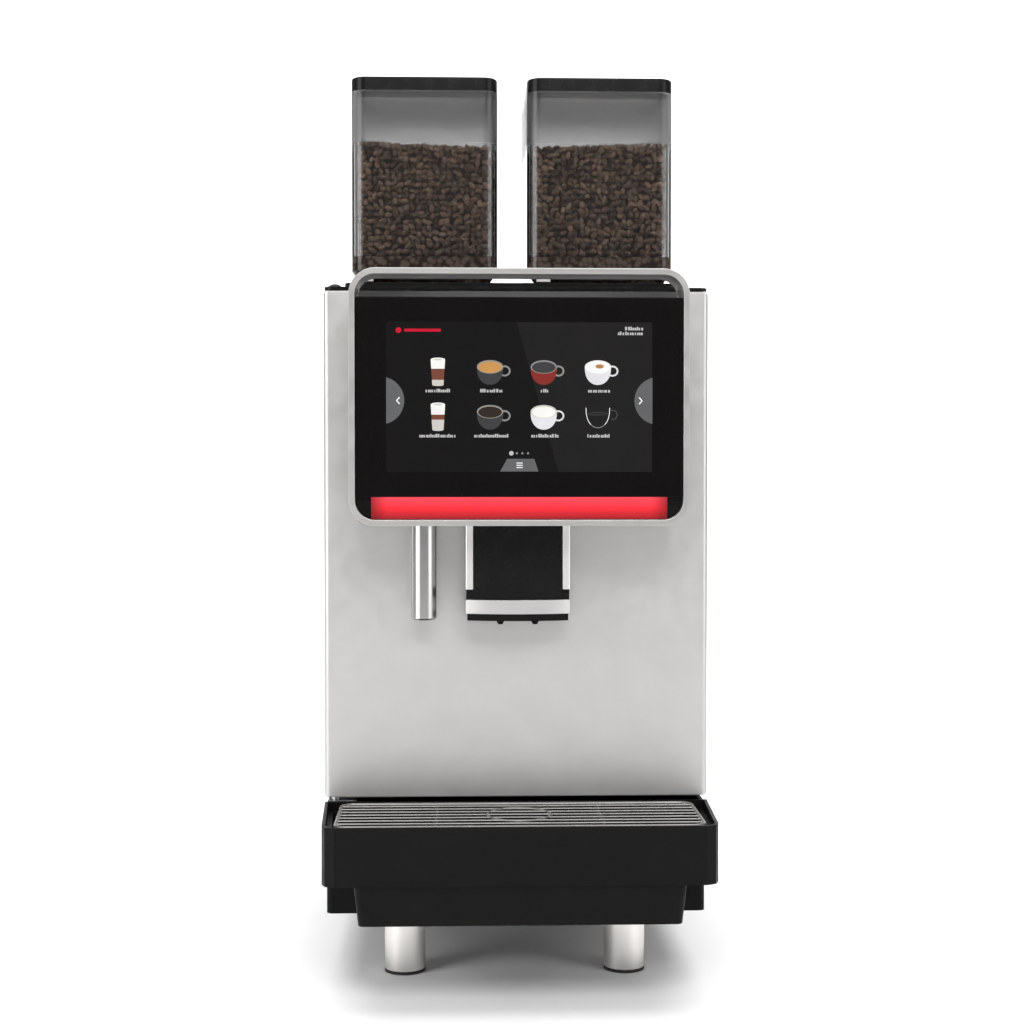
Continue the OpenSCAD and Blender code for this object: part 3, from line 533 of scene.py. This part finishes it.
class Picture:
    """Thin raised shapes on the display glass, each layer a little further forward than the last."""

    def __init__(self, centre):
        self.centre = centre
        self.points = []
        self.faces = []
        self.slots = []
        self.materials = []
        self.layer = 0

    def shape(self, outline, colour):
        """A closed flat shape from (across, up) points in millimetres, anticlockwise from the front."""
        if colour not in self.materials:
            self.materials.append(colour)
        back = self.centre.y - RELIEF_BACK * MM
        front = self.centre.y - (RELIEF_FRONT + LAYER_STEP * self.layer) * MM
        start = len(self.points)
        count = len(outline)
        for depth in (front, back):
            for across, up in outline:
                self.points.append((self.centre.x + across * MM, depth, self.centre.z + up * MM))
        made = [tuple(start + i for i in range(count))]
        made.append(tuple(start + count + i for i in reversed(range(count))))
        for i in range(count):
            after = (i + 1) % count
            made.append((start + after, start + i, start + count + i, start + count + after))
        self.faces += made
        self.slots += [self.materials.index(colour)] * len(made)

    def bar(self, left, low, right, high, colour, radius=0.0):
        """A rectangle, with round corners where radius is given."""
        corners = ((right - radius, low + radius, -90), (right - radius, high - radius, 0),
                   (left + radius, high - radius, 90), (left + radius, low + radius, 180))
        steps = 4 if radius else 0
        outline = []
        for x, z, begin in corners:
            for i in range(steps + 1):
                turn = math.radians(begin + (90.0 * i / steps if steps else 0.0))
                outline.append((x + radius * math.cos(turn), z + radius * math.sin(turn)))
        self.shape(outline, colour)

    def oval(self, x, z, rx, rz, colour, begin=0.0, end=360.0, count=28):
        """An ellipse, or a part of one closed by a straight line."""
        whole = end - begin >= 360.0
        steps = count if whole else count + 1
        turns = [math.radians(begin + (end - begin) * i / count) for i in range(steps)]
        self.shape([(x + rx * math.cos(t), z + rz * math.sin(t)) for t in turns], colour)

    def ring(self, x, z, rx, rz, width, colour, begin=0.0, end=360.0, count=24):
        """A curved band of constant width, made of short pieces."""
        for i in range(count):
            t0 = math.radians(begin + (end - begin) * i / count)
            t1 = math.radians(begin + (end - begin) * (i + 1) / count)
            outer = [(x + rx * math.cos(t), z + rz * math.sin(t)) for t in (t0, t1)]
            inner = [(x + (rx - width) * math.cos(t), z + (rz - width) * math.sin(t))
                     for t in (t1, t0)]
            self.shape(outer + inner, colour)


def tall_glass(picture, x, z, bands):
    """A tall tapered glass 12 mm across and 21 mm high, in coloured bands from the top down."""
    half, height, taper = 6.0, 21.0, 1.3

    def width_at(share):
        return half - taper * share

    top = z + height / 2
    share = 0.0
    for colour, part in bands:
        below = share + part
        wide, narrow = width_at(share), width_at(below)
        upper, lower = top - height * share, top - height * below
        picture.shape([(x - narrow, lower), (x + narrow, lower), (x + wide, upper), (x - wide, upper)],
                      colour)
        share = below
    picture.oval(x, z - height / 2, width_at(1.0), 1.0, bands[-1][0], 180.0, 360.0)
    picture.layer += 1
    picture.oval(x, top, half, 1.7, bands[0][0])
    picture.layer += 1
    picture.oval(x, top + 0.1, half * 0.6, 0.8, "foam_shade")
    picture.layer -= 2


def bowl_outline(x, z, half, height):
    """The lower part of a round cup, from its rim line down to a narrow foot."""
    steps = 20
    outline = []
    for i in range(steps + 1):
        turn = math.pi + math.pi * i / steps
        down = height * abs(math.sin(turn)) ** 0.8
        outline.append((x + half * math.cos(turn), z - down))
    return outline


def cup(picture, x, z, wall, drink, rim, shade, spot=None):
    """A round cup with a handle, seen a little from above."""
    half, height = 11.0, 15.0
    rim_z = z + 4.6
    handle_x, handle_z = x + half + 1.2, rim_z - 3.4
    picture.ring(handle_x, handle_z, 5.0, 4.6, 1.4, wall, -120.0, 110.0, 14)
    picture.layer += 1
    picture.shape(bowl_outline(x, rim_z, half, height), shade)
    picture.layer += 1
    picture.oval(x, rim_z, half, 5.6, rim)
    picture.layer += 1
    picture.oval(x, rim_z - 0.4, half - 1.1, 4.7, drink)
    if spot:
        picture.layer += 1
        picture.oval(x + 1.5, rim_z + 0.5, 3.6, 1.8, spot)
        picture.layer -= 1
    picture.layer -= 3


def empty_glass(picture, x, z):
    """The outline of an empty glass bowl."""
    thick = 0.55
    points = bowl_outline(x, z + 8.0, 10.2, 17.0)
    for a, b in zip(points, points[1:]):
        run, rise = b[0] - a[0], b[1] - a[1]
        size = math.hypot(run, rise)
        nx, nz = -rise / size * thick, run / size * thick
        edge = "icon_white" if abs(run) < abs(rise) else "icon_grey"
        picture.shape([a, b, (b[0] + nx, b[1] + nz), (a[0] + nx, a[1] + nz)], edge)
    picture.ring(x, z + 3.0, 8.6, 1.2, 0.35, "icon_dim")
    picture.ring(x + 12.5, z + 2.0, 4.0, 4.2, 0.6, "icon_dim", -110.0, 110.0, 12)


def word(picture, x, z, width, rng):
    """A row of small strokes that stands for a label."""
    at = x - width / 2
    end = x + width / 2
    foot = z - 1.3
    while at < end - 0.8:
        stroke = rng.uniform(0.9, 1.7)
        tall = rng.choice((2.1, 2.1, 2.9))
        picture.bar(at, foot, min(at + stroke, end), foot + tall, "icon_label")
        at += stroke + rng.choice((0.35, 0.35, 0.35, 0.9))


SCREEN_COLOURS = {
    "screen_dark": (0.0078, 0.0072, 0.0072), "screen_light": (0.0135, 0.0129, 0.0127),
    "screen_grey": (0.105, 0.106, 0.108), "icon_white": (0.75, 0.76, 0.77),
    "icon_label": (0.42, 0.42, 0.42), "icon_grey": (0.22, 0.22, 0.22),
    "icon_dim": (0.07, 0.07, 0.07), "foam_shade": (0.52, 0.50, 0.47), "foam": (0.74, 0.73, 0.71),
    "milk": (0.50, 0.48, 0.45), "latte": (0.16, 0.055, 0.035), "crema": (0.47, 0.24, 0.075),
    "black_coffee": (0.030, 0.022, 0.018), "tea": (0.20, 0.026, 0.020),
    "glass_dark": (0.045, 0.045, 0.047),
    "glass_rim": (0.25, 0.24, 0.22), "porcelain": (0.62, 0.62, 0.64), "cocoa": (0.36, 0.19, 0.06),
    "mark_red": (0.50, 0.010, 0.030),
}


def side_tabs(picture):
    """A round grey tab at each end of the screen, for turning the page."""
    radius = 19.9
    reach = 76
    steps = 24
    for side in (-1, 1):
        outline = []
        for i in range(steps + 1):
            turn = math.radians(-reach + 2 * reach * i / steps)
            across = -HALF_W + radius * (math.cos(turn) - math.cos(math.radians(reach)))
            outline.append((side * across, PAGE_Z + radius * math.sin(turn)))
        picture.shape(outline if side > 0 else outline[::-1], "screen_grey")


def page_arrows(picture):
    """A white arrow head on each side tab, drawn as two strokes."""
    for side in (-1, 1):
        tip = side * 103.2
        for up in (-1, 1):
            stroke = [(tip, PAGE_Z), (tip - side * 2.6, PAGE_Z + up * 3.1),
                      (tip - side * 3.5, PAGE_Z + up * 2.4), (tip - side * 1.2, PAGE_Z)]
            picture.shape(stroke if side * up > 0 else stroke[::-1], "icon_white")


def menu_and_dots(picture):
    """The three lines of the menu tab and the four page dots above it."""
    for i in range(3):
        rise = i * 1.9
        picture.bar(-2.6, -59.2 + rise, 2.6, -58.4 + rise, "icon_white")
    for x, radius, colour in ((-6.9, 1.9, "icon_label"), (-2.3, 0.9, "icon_grey"),
                              (2.3, 0.9, "icon_grey"), (7.0, 0.9, "icon_grey")):
        picture.oval(x, -46.9, radius, radius, colour)


def drinks(picture):
    """Eight drinks in two rows; the cups stand a little to the left, to leave room for a handle."""
    cups = [x - 1 for x in COLUMNS]
    upper, lower = ROWS
    tall_glass(picture, COLUMNS[0], upper, (("foam", 0.36), ("latte", 0.44), ("milk", 0.20)))
    tall_glass(picture, COLUMNS[0], lower, (("foam", 0.40), ("latte", 0.20), ("milk", 0.40)))
    cup(picture, cups[1], upper, "icon_grey", "crema", "glass_rim", shade="glass_dark")
    cup(picture, cups[1], lower, "icon_grey", "black_coffee", "glass_rim", shade="glass_dark")
    cup(picture, cups[2], upper, "glass_rim", "glass_dark", "icon_grey", shade="tea")
    cup(picture, cups[2], lower, "porcelain", "foam", "foam_shade", shade="porcelain")
    cup(picture, cups[3], upper, "porcelain", "icon_white", "foam", spot="cocoa", shade="porcelain")
    empty_glass(picture, cups[3], lower)


def labels(picture):
    """Strokes under the drinks and in the corners, in place of names, a clock and a mark."""
    rng = random.Random(7)
    for z, widths in zip(LABEL_ROWS, LABEL_WIDTHS):
        for x, width in zip(COLUMNS, widths):
            word(picture, x, z, width, rng)
    word(picture, 96.0, 57.2, 15.5, rng)
    word(picture, 93.0, 53.2, 21.5, rng)
    picture.oval(-101.0, 55.6, 2.4, 2.4, "mark_red")
    picture.bar(-96.5, 54.4, -65.5, 56.8, "mark_red", 1.2)


def screen_picture():
    """The drinks menu: two rows of four drinks, page arrows, page dots and a menu tab."""
    low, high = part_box("display_glass")
    picture = Picture(Vector(((low.x + high.x) / 2, low.y, (low.z + high.z) / 2)))
    picture.bar(-HALF_W, -HALF_H, HALF_W, HALF_H, "screen_dark", 2.5)
    picture.layer = 1
    picture.shape([(32.5, -HALF_H + 0.3), (HALF_W - 0.4, -HALF_H + 0.3),
                   (HALF_W - 0.4, HALF_H - 0.3), (-2.4, HALF_H - 0.3)], "screen_light")
    picture.layer = 2
    side_tabs(picture)
    tab_foot, tab_top = -HALF_H + 0.6, -51.5
    picture.shape([(-16.3, tab_foot), (15.8, tab_foot), (12.2, tab_top), (-10.4, tab_top)],
                  "screen_grey")
    picture.layer = 3
    page_arrows(picture)
    menu_and_dots(picture)
    drinks(picture)
    labels(picture)
    mesh = bpy.data.meshes.new("screen_picture")
    mesh.from_pydata(picture.points, [], picture.faces)
    for name in picture.materials:
        mesh.materials.append(screen_surface(name, SCREEN_COLOURS[name]))
    mesh.polygons.foreach_set("material_index", picture.slots)
    add_piece("screen_picture", mesh, "door")


# ---------- studio ----------

TOP_POWER = 66.0
FRONT_POWER = 48.0
LEFT_POWER = 40.0
RIGHT_POWER = 22.0
BACK_POWER = 260.0
WORLD_STRENGTH = 0.30
LENS = 58.37
CAMERA_X, CAMERA_Z = -0.0514, 0.4543
CAMERA_TO_DOOR = 1.461
AIM_X, AIM_Z = -0.004, 0.4183


def studio_material(name, colour):
    """A dull, even surface for the floor."""
    material, tree, shader, place = node_tools(name)
    shade = shade_between(tree, noise(tree, place, 0.6), [c * 0.99 for c in colour], colour)
    tree.links.new(shade, shader.inputs["Base Color"])
    shader.inputs["Roughness"].default_value = 0.9
    shader.inputs["Specular IOR Level"].default_value = 0.0
    return material


def make_floor():
    """A pale floor that curves up far behind the object."""
    mesh = bpy.data.meshes.new("studio_floor")
    reach, turn_y, turn_r, top = 9.0, 3.0, 2.0, 8.0
    steps = 12
    profile = [(-reach, 0.0), (turn_y, 0.0)]
    for i in range(1, steps + 1):
        turn = math.radians(90 * i / steps)
        profile.append((turn_y + turn_r * math.sin(turn), turn_r * (1 - math.cos(turn))))
    profile.append((turn_y + turn_r, top))
    points = [(side * reach, y, z) for y, z in profile for side in (-1, 1)]
    faces = [(2 * i, 2 * i + 1, 2 * i + 3, 2 * i + 2) for i in range(len(profile) - 1)]
    mesh.from_pydata(points, [], faces)
    mesh.polygons.foreach_set("use_smooth", [True] * len(mesh.polygons))
    mesh.materials.append(studio_material("studio_white", (0.93, 0.93, 0.93)))
    floor = bpy.data.objects.new("studio_floor", mesh)
    bpy.context.scene.collection.objects.link(floor)


def soft_light(name, place, aim, size, power):
    """A white rectangular lamp at place that looks at aim."""
    lamp = bpy.data.lights.new(name, "AREA")
    lamp.shape = "RECTANGLE"
    lamp.size, lamp.size_y = size
    lamp.energy = power
    holder = bpy.data.objects.new(name, lamp)
    holder.location = place
    holder.rotation_euler = (Vector(aim) - Vector(place)).to_track_quat("-Z", "Y").to_euler()
    bpy.context.scene.collection.objects.link(holder)


def make_lights():
    """Soft lamps above, in front and at both sides, one on the backdrop, and a white world."""
    level = 1.1
    side_size = (1.3, 2.0)
    soft_light("top_light", place=(0.0, -0.2, 2.6), aim=(0.0, 0.0, 0.4), size=(2.6, 2.2),
               power=TOP_POWER)
    soft_light("front_light", place=(0.2, -2.7, 2.2), aim=(0.0, -0.3, 0.0), size=(1.6, 0.9),
               power=FRONT_POWER)
    soft_light("left_light", place=(-2.1, -1.5, level), aim=(0.0, -0.1, level), size=side_size,
               power=LEFT_POWER)
    soft_light("right_light", place=(2.1, -1.5, level), aim=(0.0, -0.1, level), size=side_size,
               power=RIGHT_POWER)
    soft_light("back_light", place=(0.0, 1.6, 2.8), aim=(0.0, 4.6, 0.8), size=(5.0, 1.6),
               power=BACK_POWER)
    world = bpy.data.worlds.new("studio_world")
    world.use_nodes = True
    background = world.node_tree.nodes["Background"]
    background.inputs["Color"].default_value = (1.0, 1.0, 1.0, 1.0)
    background.inputs["Strength"].default_value = WORLD_STRENGTH
    bpy.context.scene.world = world


def make_camera():
    """A camera in front of the machine, a little left of its middle, at screen height."""
    door_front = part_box("door_panel")[0].y
    place = Vector((CAMERA_X, door_front - CAMERA_TO_DOOR, CAMERA_Z))
    aim = Vector((AIM_X, door_front, AIM_Z))
    camera = bpy.data.cameras.new("camera")
    camera.sensor_width = 36.0
    camera.lens = LENS
    holder = bpy.data.objects.new("camera", camera)
    holder.location = place
    holder.rotation_euler = (aim - place).to_track_quat("-Z", "Y").to_euler()
    bpy.context.scene.collection.objects.link(holder)
    bpy.context.scene.camera = holder


# ---------- scene ----------

SLOPE = math.radians(2.2)

materials = slot_materials()
dress_nodes(materials)
beans = materials["coffee_beans"]
bean_heap("bean_heap_left", "beans_left", "left_hopper", slope=-SLOPE, seed=11, material=beans)
bean_heap("bean_heap_right", "beans_right", "right_hopper", slope=SLOPE, seed=12, material=beans)
screen_picture()
make_floor()
make_lights()
make_camera()
bpy.context.scene.view_settings.view_transform = "Standard"
